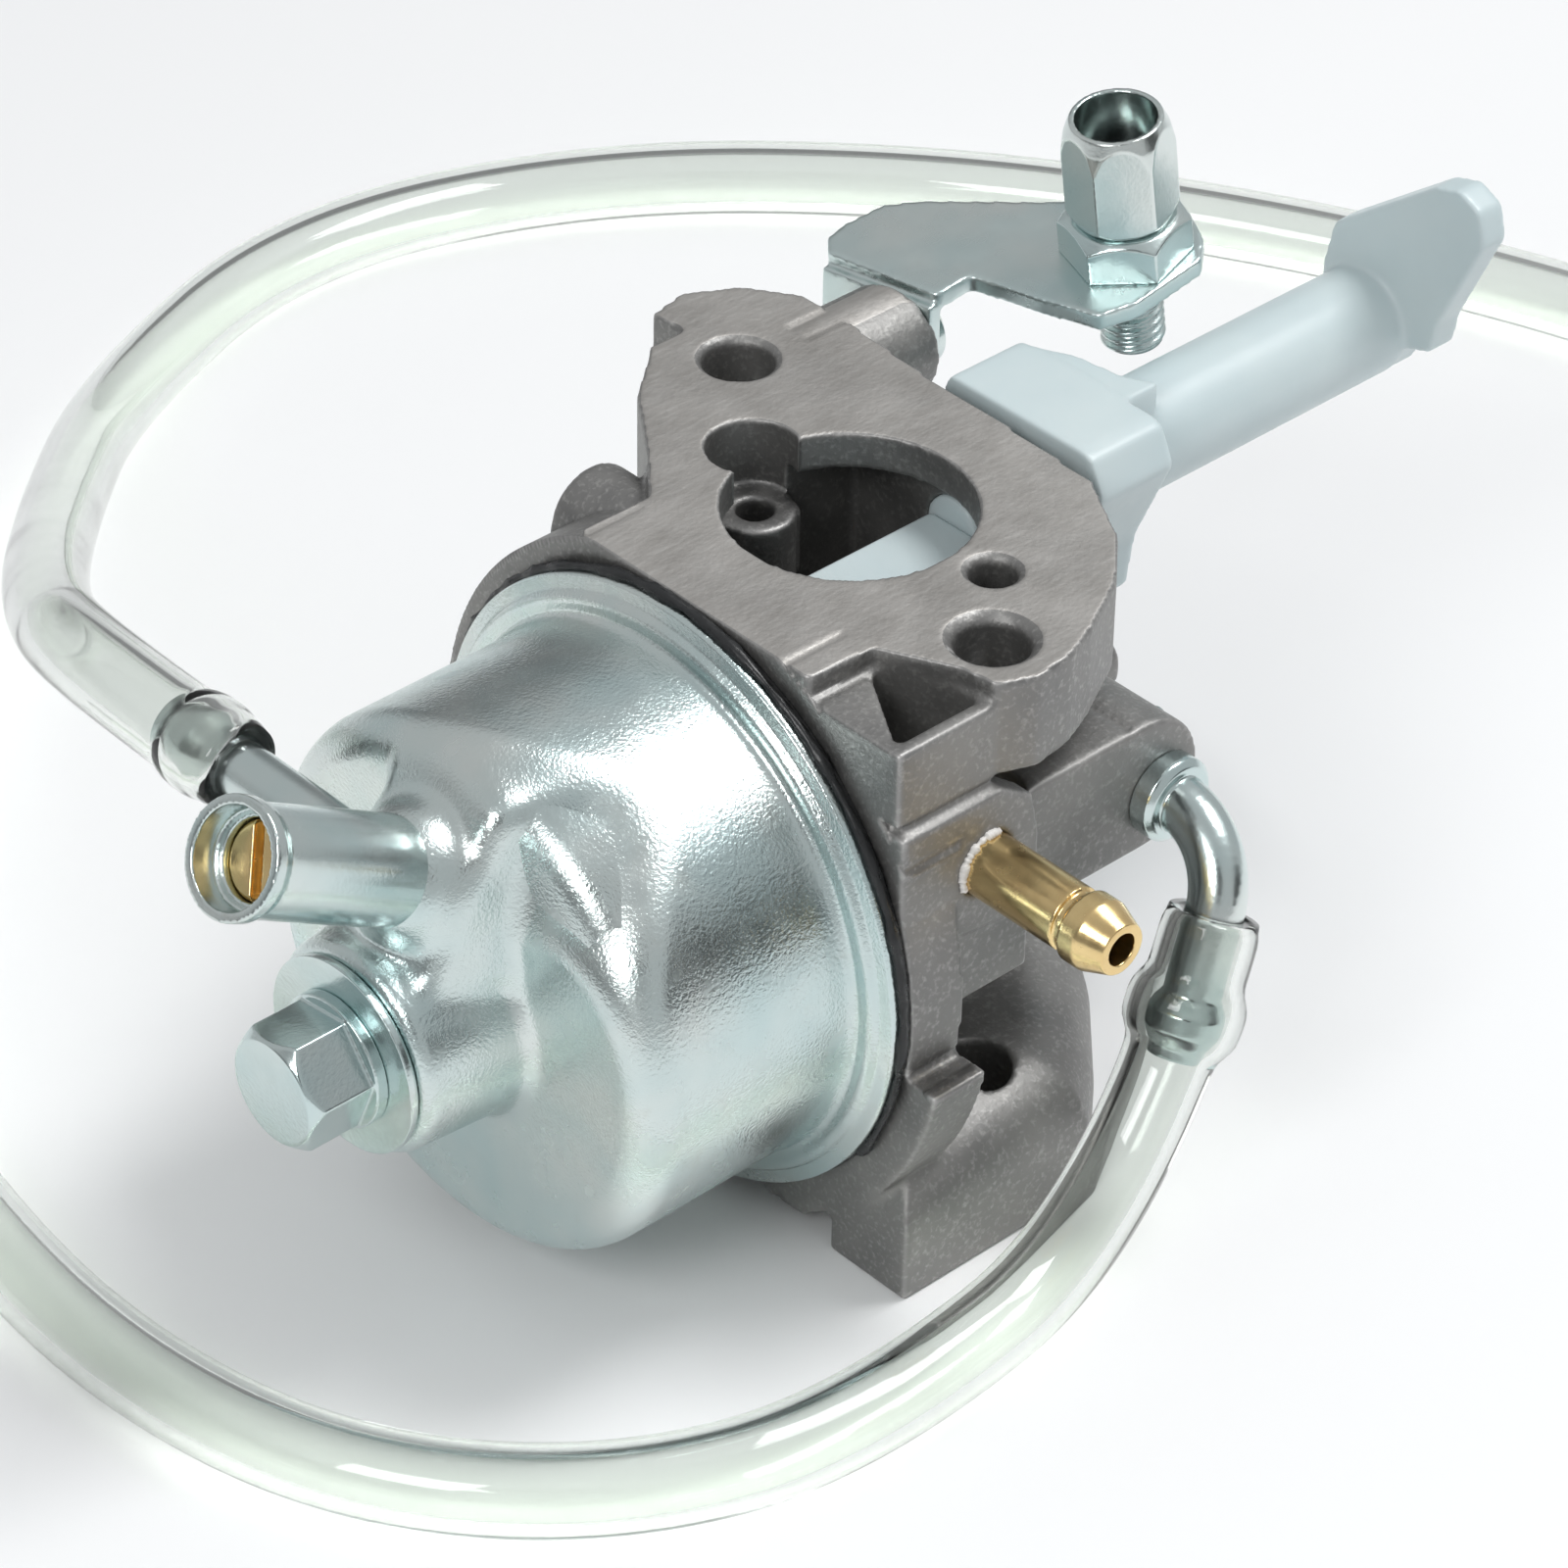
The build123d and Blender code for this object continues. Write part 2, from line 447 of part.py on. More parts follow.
# ---- cable bracket ----
leg_side = Vector(-sin(radians(8)), cos(radians(8)), 0)
leg_out = Vector(cos(radians(8)), sin(radians(8)), 0)
sheet_t = 1.8
bracket_along = (cos(radians(bracket_rise)), 0, sin(radians(bracket_rise)))
bracket_plane = Plane(origin=adjuster_foot, x_dir=bracket_along, z_dir=bracket_up)
top_plate = [(-17.6, 20.6), (-16.0, 22.3), (-13.7, 22.5), (-9.6, 21.9), (-6.8, 19.6), (0.4, 10.6), (6.2, 4.6),
             (7.6, -0.6),
             (5.6, -4.2), (3.2, -6.2), (-5.0, -6.2), (-8.4, -4.9), (-10.1, 1.1), (-11.7, 8.1), (-15.6, 8.4)]
with BuildPart() as bracket:
    with BuildSketch(bracket_plane) as top_sketch:
        with BuildLine():
            Polyline(*top_plate, close=True)
        make_face()
        fillet(top_sketch.vertices(), radius=0.8)
    extrude(top_sketch.sketch, amount=-sheet_t)
    with BuildSketch(Plane(origin=Vector(27.15, 23.0, 0), x_dir=leg_side, z_dir=leg_out)) as leg:
        with BuildLine():
            leg_outline = [(-4.0, -0.8), (-4.0, -7), (-2.4, -11.2), (2.6, -12.2), (8.4, -8), (8.4, -1.4)]
            Polyline(*leg_outline, close=True)
        make_face()
    extrude(leg.sketch, amount=sheet_t)
    rod(adjuster_foot + bracket_up * 4, bracket_up * -1, 3.0 + run_gap, 9, mode=Mode.SUBTRACT)
    rod(Vector(27.15, 23, -6.0) - leg_out * 4, leg_out, 2.15, 10, mode=Mode.SUBTRACT)
save(bracket.part, "cable_bracket")

with BuildPart() as bracket_screw:
    head_base = Vector(27.15, 23, -6.0) + leg_out * sheet_t
    screw_shape = [(-11.0, 0), (-11.0, 1.6), (-10.4, 2.0), (0, 2.0), (0, 3.5), (1.4, 3.5),
                   (2.6, 2.4), (2.6, 0)]
    turned(head_base, leg_out, screw_shape)
    with BuildSketch(Plane(origin=head_base + leg_out * 3, z_dir=leg_out * -1)) as cross:
        Rectangle(0.9, 3.6)
        Rectangle(3.6, 0.9)
    extrude(cross.sketch, amount=1.8, mode=Mode.SUBTRACT)
save(bracket_screw.part, "bracket_screw")

nut_height = 4.2
with BuildPart() as lock_nut:
    with BuildSketch(Plane(origin=adjuster_foot, z_dir=bracket_up)) as nut_shape:
        RegularPolygon(5.3, 6, major_radius=False, rotation=12)
        Circle(3.0 + run_gap, mode=Mode.SUBTRACT)
    extrude(nut_shape.sketch, amount=nut_height)
    rim_cut = [(nut_height - 0.9, 7), (nut_height - 0.9, 6.0), (nut_height, 4.9), (nut_height, 7)]
    turned(adjuster_foot, bracket_up, rim_cut, mode=Mode.SUBTRACT)
save(lock_nut.part, "adjuster_lock_nut")

sleeve_foot = adjuster_foot + bracket_up * nut_height
sleeve_height = 10.6
with BuildPart() as adjuster:
    with BuildSketch(Plane(origin=sleeve_foot, z_dir=bracket_up)) as sleeve_shape:
        RegularPolygon(4.5, 6, major_radius=False, rotation=20)
    extrude(sleeve_shape.sketch, amount=sleeve_height)
    dome = [(7.2, 7), (7.2, 5.2), (9.2, 4.8), (sleeve_height, 4.2), (sleeve_height, 7)]
    turned(sleeve_foot, bracket_up, dome, mode=Mode.SUBTRACT)
    foot_cut = [(0, 7), (0, 4.3), (0.9, 5.2), (0.9, 7)]
    turned(sleeve_foot, bracket_up, foot_cut, mode=Mode.SUBTRACT)
    thread = [(-14.4, 0), (-14.4, 2.5), (-13.9, 3.0), (0.1, 3.0), (0.1, 0)]
    turned(sleeve_foot, bracket_up, thread)
    core = [(-14.5, 0), (-14.5, 1.1), (1.2, 1.1), (1.2, 2.9), (3.2, 2.9), (3.2, 3.7), (11, 3.7), (11, 0)]
    turned(sleeve_foot, bracket_up, core, mode=Mode.SUBTRACT)
save(adjuster.part, "cable_adjuster")

with BuildPart() as ferrule:
    turned(sleeve_foot, bracket_up, [(1.25, 1.1), (1.25, 2.9 - run_gap), (3.2, 2.9 - run_gap), (3.2, 1.1)])
save(ferrule.part, "adjuster_ferrule")


# ---- hoses ----
def bend_radii(points):
    radii = []
    for before, corner, after in zip(points, points[1:], points[2:]):
        come = Vector(*corner) - Vector(*before)
        leave = Vector(*after) - Vector(*corner)
        turn = acos(come.normalized().dot(leave.normalized()))
        radii.append(0.45 * min(come.length, leave.length) / tan(turn / 2))
    return radii


def hose(points, name):
    radii = bend_radii(points)
    print(name, "radii", [round(r, 1) for r in radii])
    with BuildPart() as tube:
        with BuildLine() as route:
            FilletPolyline(*points, radius=radii)
        start = Vector(*points[0])
        heading = Vector(*points[1]) - start
        with BuildSketch(Plane(origin=start, z_dir=heading)) as section:
            Circle(hose_r)
            Circle(hose_bore_r, mode=Mode.SUBTRACT)
        sweep(section.sketch, path=route.line)
    length = sum(edge.length for edge in route.edges())
    print(name, "length", round(length, 1), "volume", round(tube.part.volume, 1))
    save(tube.part, name)


vent_mouth = elbow_corner + elbow_dir * 7.0
vent_foot = elbow_corner + elbow_dir * ((elbow_corner.Z - hose_z) / -elbow_dir.Z)
vent_route = [
    (vent_mouth.X, vent_mouth.Y, vent_mouth.Z),
    (vent_foot.X, vent_foot.Y, hose_z),
    (-37.6, -42.4, hose_z),
    (-58.2, -34.5, hose_z),
    (-72.6, -17.9, hose_z),
    (-77.8, 4.5, hose_z),
    (-75.6, 29.4, hose_z),
    (-68.7, 53.4, hose_z),
    (-58.9, 75.4, hose_z),
]
drain_route = [
    (-52.4, 18, -12),
    (-52.4, 39, -12),
    (-42, 60, -22),
    (-17, 92, -40),
    (12, 123, hose_z),
    (46, 135.5, hose_z),
    (80, 124, hose_z),
    (107, 99, hose_z),
    (126, 70, hose_z),
    (138, 44, hose_z),
    (145, 20, hose_z),
    (150, -4, hose_z),
]
hose(vent_route, "vent_hose")
hose(drain_route, "drain_hose")
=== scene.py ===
"""A small-engine carburetor lying on its engine flange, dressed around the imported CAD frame."""
import json
import math

import bpy
import numpy as np
from mathutils import Matrix, Vector


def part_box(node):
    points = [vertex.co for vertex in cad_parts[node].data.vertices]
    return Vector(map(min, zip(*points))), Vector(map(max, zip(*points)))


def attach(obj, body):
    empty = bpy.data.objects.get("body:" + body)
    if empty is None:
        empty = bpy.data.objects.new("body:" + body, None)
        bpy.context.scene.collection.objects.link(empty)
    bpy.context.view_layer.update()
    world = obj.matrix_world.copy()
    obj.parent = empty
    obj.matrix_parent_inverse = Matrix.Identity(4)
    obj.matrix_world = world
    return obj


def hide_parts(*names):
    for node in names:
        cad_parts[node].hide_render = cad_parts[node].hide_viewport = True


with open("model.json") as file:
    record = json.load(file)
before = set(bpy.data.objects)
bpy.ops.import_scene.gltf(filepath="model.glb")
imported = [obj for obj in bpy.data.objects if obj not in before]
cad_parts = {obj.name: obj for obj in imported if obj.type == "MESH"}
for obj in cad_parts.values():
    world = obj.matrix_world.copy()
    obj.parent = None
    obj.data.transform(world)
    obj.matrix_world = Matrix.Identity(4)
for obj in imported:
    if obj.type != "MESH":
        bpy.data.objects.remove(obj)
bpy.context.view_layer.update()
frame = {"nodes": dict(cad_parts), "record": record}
record = frame["record"]
BODY_OF = {n: b for b, nodes in record["behaviour"]["bodies"].items() for n in nodes}
SLOT_OF = {s["node"]: s["material_slot"] for s in record["subparts"]}
MM = 0.001

# ---------------------------------------------------------------- frame dimensions, metres
mounts = {m["name"]: m for m in record["mounts"]}
FLOOR_Z = mounts["engine_flange_face"]["pos_m"][2]
bowl_low, bowl_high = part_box("float_bowl")
RIM_X = bowl_high.x
RIM_R = (bowl_high.y - bowl_low.y) / 2
BOWL_Y = (bowl_high.y + bowl_low.y) / 2
BOWL_Z = (bowl_high.z + bowl_low.z) / 2
HOSE_R = 4.0 * MM
HOSE_Z = FLOOR_Z + HOSE_R


# ---------------------------------------------------------------- camera
CAMERA_PLACE = (-0.3004, -0.3110, 0.2898)
CAMERA_LENS = 140.6
CAMERA_TURN = (-43.32, 36.45, 1.003)  # azimuth, elevation and roll, degrees


def add_camera():
    data = bpy.data.cameras.new("camera")
    data.sensor_width = 36.0
    data.lens = CAMERA_LENS
    camera = bpy.data.objects.new("camera", data)
    bpy.context.scene.collection.objects.link(camera)
    azimuth, elevation, roll = (math.radians(a) for a in CAMERA_TURN)
    level = math.cos(elevation)
    back = Vector((math.sin(azimuth) * level, -math.cos(azimuth) * level, math.sin(elevation)))
    turn = (-back).to_track_quat("-Z", "Y").to_matrix() @ Matrix.Rotation(roll, 3, "Z")
    camera.matrix_world = Matrix.Translation(CAMERA_PLACE) @ turn.to_4x4()
    bpy.context.scene.camera = camera
    return camera


# ---------------------------------------------------------------- shader helpers
class Shader:
    """A material's node tree with short calls for the nodes that every finish here uses."""

    def __init__(self, name, color, metallic=0.0, roughness=0.5):
        self.material = bpy.data.materials.new(name)
        self.material.use_nodes = True
        self.tree = self.material.node_tree
        self.bsdf = self.tree.nodes["Principled BSDF"]
        self.set("Base Color", (*color, 1.0))
        self.set("Metallic", metallic)
        self.set("Roughness", roughness)
        self.coords = self.tree.nodes.new("ShaderNodeTexCoord").outputs["Object"]
        self.height = None

    def set(self, socket, value):
        self.bsdf.inputs[socket].default_value = value

    def link(self, source, target):
        self.tree.links.new(source, target)

    def feed(self, source, socket):
        self.link(source, self.bsdf.inputs[socket])

    def scaled(self, scale):
        node = self.tree.nodes.new("ShaderNodeMapping")
        node.inputs["Scale"].default_value = scale
        self.link(self.coords, node.inputs["Vector"])
        return node.outputs[0]

    def noise(self, scale, detail=3.0, rough=0.55, vector=None, distortion=0.0):
        node = self.tree.nodes.new("ShaderNodeTexNoise")
        node.inputs["Scale"].default_value = scale
        node.inputs["Detail"].default_value = detail
        node.inputs["Roughness"].default_value = rough
        node.inputs["Distortion"].default_value = distortion
        self.link(vector or self.coords, node.inputs["Vector"])
        return node.outputs["Fac"]

    def ramp(self, source, stops):
        node = self.tree.nodes.new("ShaderNodeValToRGB")
        ramp = node.color_ramp
        while len(ramp.elements) < len(stops):
            ramp.elements.new(0.5)
        for element, (place, color) in zip(ramp.elements, stops):
            element.position = place
            element.color = (color, color, color, 1) if isinstance(color, float) else (*color, 1)
        self.link(source, node.inputs["Fac"])
        return node.outputs["Color"]

    def mix(self, factor, first, second, blend="MIX"):
        node = self.tree.nodes.new("ShaderNodeMix")
        node.data_type = "RGBA"
        node.blend_type = blend
        for socket, value in ((node.inputs[0], factor), (node.inputs[6], first), (node.inputs[7], second)):
            if isinstance(value, bpy.types.NodeSocket):
                self.link(value, socket)
            else:
                socket.default_value = value if isinstance(value, float) else (*value, 1)
        return node.outputs[2]

    def math(self, operation, first, second=0.5, third=None, clamp=False):
        node = self.tree.nodes.new("ShaderNodeMath")
        node.operation = operation
        node.use_clamp = clamp
        for socket, value in zip(node.inputs, (first, second, third)):
            if isinstance(value, bpy.types.NodeSocket):
                self.link(value, socket)
            elif value is not None:
                socket.default_value = value
        return node.outputs[0]

    def bump(self, source, strength, distance):
        node = self.tree.nodes.new("ShaderNodeBump")
        node.inputs["Strength"].default_value = strength
        node.inputs["Distance"].default_value = distance
        self.link(source, node.inputs["Height"])
        if self.height is not None:
            self.link(self.height, node.inputs["Normal"])
        self.height = node.outputs["Normal"]
        self.feed(self.height, "Normal")


# ---------------------------------------------------------------- finishes
def cast_aluminium():
    s = Shader("cast_aluminium", (0.27, 0.265, 0.26), 0.85, 0.5)
    patches = s.noise(90, 4.0)
    grain = s.noise(1900, 2.0)
    side = s.mix(s.ramp(patches, [(0.3, 0.0), (0.7, 1.0)]), (0.205, 0.203, 0.20), (0.31, 0.305, 0.295))
    side = s.mix(s.ramp(grain, [(0.52, 0.0), (0.72, 0.55)]), side, (0.45, 0.445, 0.43))
    geometry = s.tree.nodes.new("ShaderNodeNewGeometry")
    split = s.tree.nodes.new("ShaderNodeSeparateXYZ")
    s.link(geometry.outputs["Normal"], split.inputs[0])
    place = s.tree.nodes.new("ShaderNodeSeparateXYZ")
    s.link(s.coords, place.inputs[0])
    facing = s.math("GREATER_THAN", split.outputs["Z"], 0.93)
    high = s.math("GREATER_THAN", place.outputs["Z"], -0.0006)
    cut = s.math("MULTIPLY", facing, high)
    brushed = s.noise(900, 3.0, vector=s.scaled((0.25, 2.6, 1)))
    cloud = s.noise(160, 4.0, 0.6)
    cut_color = s.mix(s.ramp(cloud, [(0.32, 0.0), (0.7, 1.0)]), (0.37, 0.355, 0.335), (0.47, 0.455, 0.435))
    cut_color = s.mix(s.ramp(brushed, [(0.45, 0.0), (0.75, 0.45)]), cut_color, (0.56, 0.55, 0.53))
    worn = s.ramp(geometry.outputs["Pointiness"], [(0.53, 0.0), (0.6, 0.8)])
    s.feed(s.mix(worn, s.mix(cut, side, cut_color), (0.62, 0.61, 0.6)), "Base Color")
    s.feed(s.ramp(patches, [(0.3, 0.44), (0.75, 0.6)]), "Roughness")
    s.bump(grain, 0.35, 0.00012)
    s.bump(s.noise(420, 3.0), 0.25, 0.0003)
    return s.material


def zinc(name, grain_scale, grain_strength, roughness):
    s = Shader(name, (0.7, 0.78, 0.78), 1.0, roughness)
    tint = s.noise(55, 3.0, 0.6)
    color = s.mix(s.ramp(tint, [(0.35, 0.0), (0.65, 1.0)]), (0.56, 0.68, 0.68), (0.7, 0.75, 0.73))
    stain = s.noise(130, 5.0, 0.7)
    color = s.mix(s.ramp(stain, [(0.62, 0.0), (0.8, 0.35)]), color, (0.5, 0.5, 0.44))
    s.feed(color, "Base Color")
    s.feed(s.ramp(s.noise(300, 3.0), [(0.3, roughness * 0.8), (0.75, roughness * 1.3)]), "Roughness")
    s.bump(s.noise(grain_scale, 2.0, 0.6), grain_strength, 0.00006)
    return s.material


def brass():
    s = Shader("turned_brass", (0.83, 0.62, 0.3), 1.0, 0.2)
    tint = s.ramp(s.noise(260, 4.0), [(0.35, 0.0), (0.7, 1.0)])
    color = s.mix(tint, (0.86, 0.66, 0.33), (0.74, 0.53, 0.25))
    s.feed(color, "Base Color")
    s.feed(s.ramp(s.noise(700, 3.0), [(0.3, 0.16), (0.75, 0.3)]), "Roughness")
    s.bump(s.noise(1600, 2.0, vector=s.scaled((1, 3, 1))), 0.12, 0.00004)
    return s.material


def white_plastic():
    s = Shader("white_plastic", (0.5, 0.58, 0.6), 0.0, 0.36)
    color = s.mix(s.ramp(s.noise(60, 3.0), [(0.3, 0.0), (0.7, 1.0)]), (0.5, 0.59, 0.61), (0.56, 0.64, 0.65))
    s.feed(color, "Base Color")
    s.set("Subsurface Weight", 0.12)
    s.set("Subsurface Radius", (0.004, 0.005, 0.005))
    s.set("Subsurface Scale", 0.5)
    s.feed(s.ramp(s.noise(800, 3.0), [(0.3, 0.3), (0.75, 0.44)]), "Roughness")
    s.bump(s.noise(1400, 2.0), 0.08, 0.00005)
    return s.material


def black_rubber():
    s = Shader("black_rubber", (0.012, 0.013, 0.014), 0.0, 0.32)
    s.feed(s.ramp(s.noise(900, 3.0), [(0.3, 0.22), (0.75, 0.5)]), "Roughness")
    s.bump(s.noise(1300, 3.0), 0.4, 0.0001)
    return s.material


def dark_plastic():
    s = Shader("float_plastic", (0.02, 0.02, 0.022), 0.0, 0.45)
    s.bump(s.noise(1200, 2.0), 0.15, 0.00005)
    return s.material


def spring_steel():
    s = Shader("spring_steel", (0.5, 0.5, 0.5), 1.0, 0.28)
    s.bump(s.noise(1500, 2.0), 0.15, 0.00004)
    return s.material


def white_sealant():
    s = Shader("white_sealant", (0.8, 0.78, 0.75), 0.0, 0.5)
    s.bump(s.noise(900, 3.0), 0.5, 0.0002)
    return s.material


def clear_hose():
    s = Shader("clear_hose", (0.86, 0.885, 0.86), 0.0, 0.04)
    s.set("IOR", 1.42)
    s.set("Transmission Weight", 1.0)
    s.bump(s.noise(70, 2.0, vector=s.scaled((1, 1, 1))), 0.05, 0.0006)
    clear = s.tree.nodes.new("ShaderNodeBsdfTransparent")
    clear.inputs["Color"].default_value = (0.93, 0.94, 0.92, 1)
    path = s.tree.nodes.new("ShaderNodeLightPath")
    blend = s.tree.nodes.new("ShaderNodeMixShader")
    s.link(path.outputs["Is Shadow Ray"], blend.inputs[0])
    s.link(s.bsdf.outputs[0], blend.inputs[1])
    s.link(clear.outputs[0], blend.inputs[2])
    s.link(blend.outputs[0], s.tree.nodes["Material Output"].inputs["Surface"])
    return s.material


FINISH = {
    "cast_body": cast_aluminium(),
    "zinc_plate": zinc("zinc_plate", 2600, 0.18, 0.2),
    "spring_steel": spring_steel(),
    "brass": brass(),
    "black_rubber": black_rubber(),
    "white_plastic": white_plastic(),
    "float_plastic": dark_plastic(),
    "clear_hose": clear_hose(),
}
BOWL_ZINC = zinc("bowl_zinc", 3000, 0.9, 0.24)
for name, cad in frame["nodes"].items():
    cad.data.materials.clear()
    cad.data.materials.append(FINISH[SLOT_OF[name]])


# ---------------------------------------------------------------- mesh helpers
def add_mesh(name, points, faces, material, smooth=True):
    mesh = bpy.data.meshes.new(name)
    mesh.from_pydata([tuple(p) for p in points], [], faces)
    mesh.update()
    mesh.materials.append(material)
    if smooth:
        mesh.polygons.foreach_set("use_smooth", [True] * len(mesh.polygons))
    made = bpy.data.objects.new(name, mesh)
    bpy.context.scene.collection.objects.link(made)
    return made


def fit(piece, *nodes):
    """The piece stands for the CAD nodes and rides with the first one's body."""
    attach(piece, BODY_OF[nodes[0]])
    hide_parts(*nodes)
    return piece


def applied(piece):
    """The piece, with its modifiers baked into its mesh."""
    evaluated = piece.evaluated_get(bpy.context.evaluated_depsgraph_get())
    mesh = bpy.data.meshes.new_from_object(evaluated)
    piece.modifiers.clear()
    old = piece.data
    piece.data = mesh
    bpy.data.meshes.remove(old)
    return piece


def trued(mesh, rounds, reach=0.3 * MM):
    """Moves the vertices beside each round wall (start, axis, radius, length in mm) onto it."""
    points = mesh_points(mesh)
    for start, axis, radius, length in rounds:
        away = points - np.array(start) * MM
        along = away @ np.array(axis, float)
        across = away - along[:, None] * np.array(axis, float)
        size = np.linalg.norm(across, axis=1)
        near = (along > 0) & (along < length * MM) & (np.abs(size - radius * MM) < reach)
        points[near] += across[near] / size[near, None] * (radius * MM - size[near])[:, None]
    mesh.vertices.foreach_set("co", points.ravel())
    mesh.update()


def mesh_points(mesh):
    flat = np.empty(len(mesh.vertices) * 3)
    mesh.vertices.foreach_get("co", flat)
    return flat.reshape(-1, 3)


def kept_within(mesh, source):
    """Pulls the vertices into the box of the CAD mesh, which remeshing can bulge past."""
    limits = mesh_points(source)
    points = np.clip(mesh_points(mesh), limits.min(axis=0), limits.max(axis=0))
    mesh.vertices.foreach_set("co", points.ravel())
    mesh.update()


def threaded(mesh, start, axis, low, high, radius, pitch, depth):
    """Cuts a screw thread into the round wall of that radius between two places along the axis, mm."""
    axis = Vector(axis).normalized()
    across = axis.orthogonal().normalized()
    third = axis.cross(across)
    for vertex in mesh.vertices:
        away = vertex.co / MM - Vector(start)
        along = away.dot(axis)
        side = away - axis * along
        if low < along < high and abs(side.length - radius) < 0.25:
            turn = math.atan2(side.dot(third), side.dot(across)) / (2 * math.pi)
            cut = depth * (0.5 - 0.5 * math.cos(2 * math.pi * (along / pitch - turn)))
            vertex.co = (Vector(start) + axis * along + side.normalized() * (radius - cut)) * MM
    mesh.update()


def lumpy(name, centre, axis, ring_r, first, last, thick, seed, material):
    """A bead of squeezed-out paste of uneven thickness along an arc, mm and degrees."""
    rng = np.random.default_rng(seed)
    axis = Vector(axis).normalized()
    across = Vector((0, 1, 0)) if abs(axis.x) > 0.9 else Vector((1, 0, 0))
    third = axis.cross(across)
    count, around = int(abs(last - first) * 1.2) + 8, 12
    knots = rng.uniform(0.35, 1.0, count // 5 + 3)
    points = []
    for i in range(count):
        a = math.radians(first + (last - first) * i / (count - 1))
        ends = min(1.0, i / 3, (count - 1 - i) / 3)
        swell_here = float(np.interp(i / 5.0, range(len(knots)), knots)) * ends
        out = across * math.cos(a) + third * math.sin(a)
        for j in range(around):
            b = 2 * math.pi * j / around
            reach = thick * swell_here * (0.85 + 0.15 * math.sin(5 * b + i)) + 0.01
            place = Vector(centre) + out * (ring_r + reach * math.cos(b)) + axis * reach * math.sin(b)
            points.append(place * MM)
    faces = strip_faces(count, around)
    faces.append(tuple(range(around))[::-1])
    faces.append(tuple((count - 1) * around + j for j in range(around)))
    return add_mesh(name, points, faces, material)


def rounded(node, voxel, passes, material=None, rounds=()):
    """A CAD node's shape as one closed skin with softly rounded edges."""
    source = frame["nodes"][node]
    piece = bpy.data.objects.new(node + "_skin", source.data.copy())
    bpy.context.scene.collection.objects.link(piece)
    weld = piece.modifiers.new("weld", "WELD")
    weld.merge_threshold = 0.000002
    skin = piece.modifiers.new("skin", "REMESH")
    skin.mode = "VOXEL"
    skin.voxel_size = voxel
    skin.use_smooth_shade = True
    soften = piece.modifiers.new("soften", "SMOOTH")
    soften.factor = 0.5
    soften.iterations = passes
    applied(piece)
    trued(piece.data, rounds)
    kept_within(piece.data, source.data)
    piece.data.materials.clear()
    piece.data.materials.append(material or FINISH[SLOT_OF[node]])
    return fit(piece, node)


def strip_faces(rows, columns, close_columns=True, close_rows=False):
    """Quads of a grid of rows x columns points, closed round the columns."""
    faces = []
    for i in range(rows if close_rows else rows - 1):
        for j in range(columns if close_columns else columns - 1):
            k, n = (j + 1) % columns, (i + 1) % rows
            faces.append((i * columns + j, i * columns + k, n * columns + k, n * columns + j))
    return faces


# ---------------------------------------------------------------- hoses
ELBOW_CORNER = Vector((13.9, -33.9, -23.2)) * MM
ELBOW_END = Vector((5.5, -36.2, -41.0)) * MM
elbow_dir = (ELBOW_END - ELBOW_CORNER).normalized()
vent_mouth = ELBOW_CORNER + elbow_dir * 7.0 * MM
vent_foot = ELBOW_CORNER + elbow_dir * ((ELBOW_CORNER.z - HOSE_Z) / -elbow_dir.z)
VENT_ROUTE = [
    vent_mouth,
    Vector((vent_foot.x, vent_foot.y, HOSE_Z)),
    *(Vector((x * MM, y * MM, HOSE_Z)) for x, y in
      [(-37.6, -42.4), (-58.2, -34.5), (-72.6, -17.9), (-77.8, 4.5), (-75.6, 29.4),
       (-68.7, 53.4), (-58.9, 75.4)]),
]
DRAIN_ROUTE = [
    *(Vector(p) * MM for p in [(-52.4, 18, -12), (-52.4, 39, -12), (-42, 60, -22), (-17, 92, -40)]),
    *(Vector((x * MM, y * MM, HOSE_Z)) for x, y in
      [(12, 123), (46, 135.5), (80, 124), (107, 99), (126, 70), (138, 44), (145, 20), (150, -4)]),
]


def spline_points(name, route, resolution=24):
    """Points along the smooth line that the route's points control."""
    data = bpy.data.curves.new(name, "CURVE")
    data.dimensions = "3D"
    spline = data.splines.new("NURBS")
    spline.points.add(len(route) - 1)
    for point, place in zip(spline.points, route):
        point.co = (*place, 1.0)
    spline.order_u = 3
    spline.use_endpoint_u = True
    spline.resolution_u = resolution
    line = bpy.data.objects.new(name, data)
    bpy.context.scene.collection.objects.link(line)
    bpy.context.view_layer.update()
    mesh = bpy.data.meshes.new_from_object(line.evaluated_get(bpy.context.evaluated_depsgraph_get()))
    points = [v.co.copy() for v in mesh.vertices]
    bpy.data.objects.remove(line)
    bpy.data.meshes.remove(mesh)
    return points


def along_line(points, step):
    """The same line with points a step apart near its start."""
    marks = np.concatenate([[0], np.cumsum([(b - a).length for a, b in zip(points, points[1:])])])
    wanted = np.linspace(0, marks[-1], int(marks[-1] / step) + 1)
    columns = [np.interp(wanted, marks, [p[k] for p in points]) for k in range(3)]
    return [Vector(p) for p in zip(*columns)], wanted


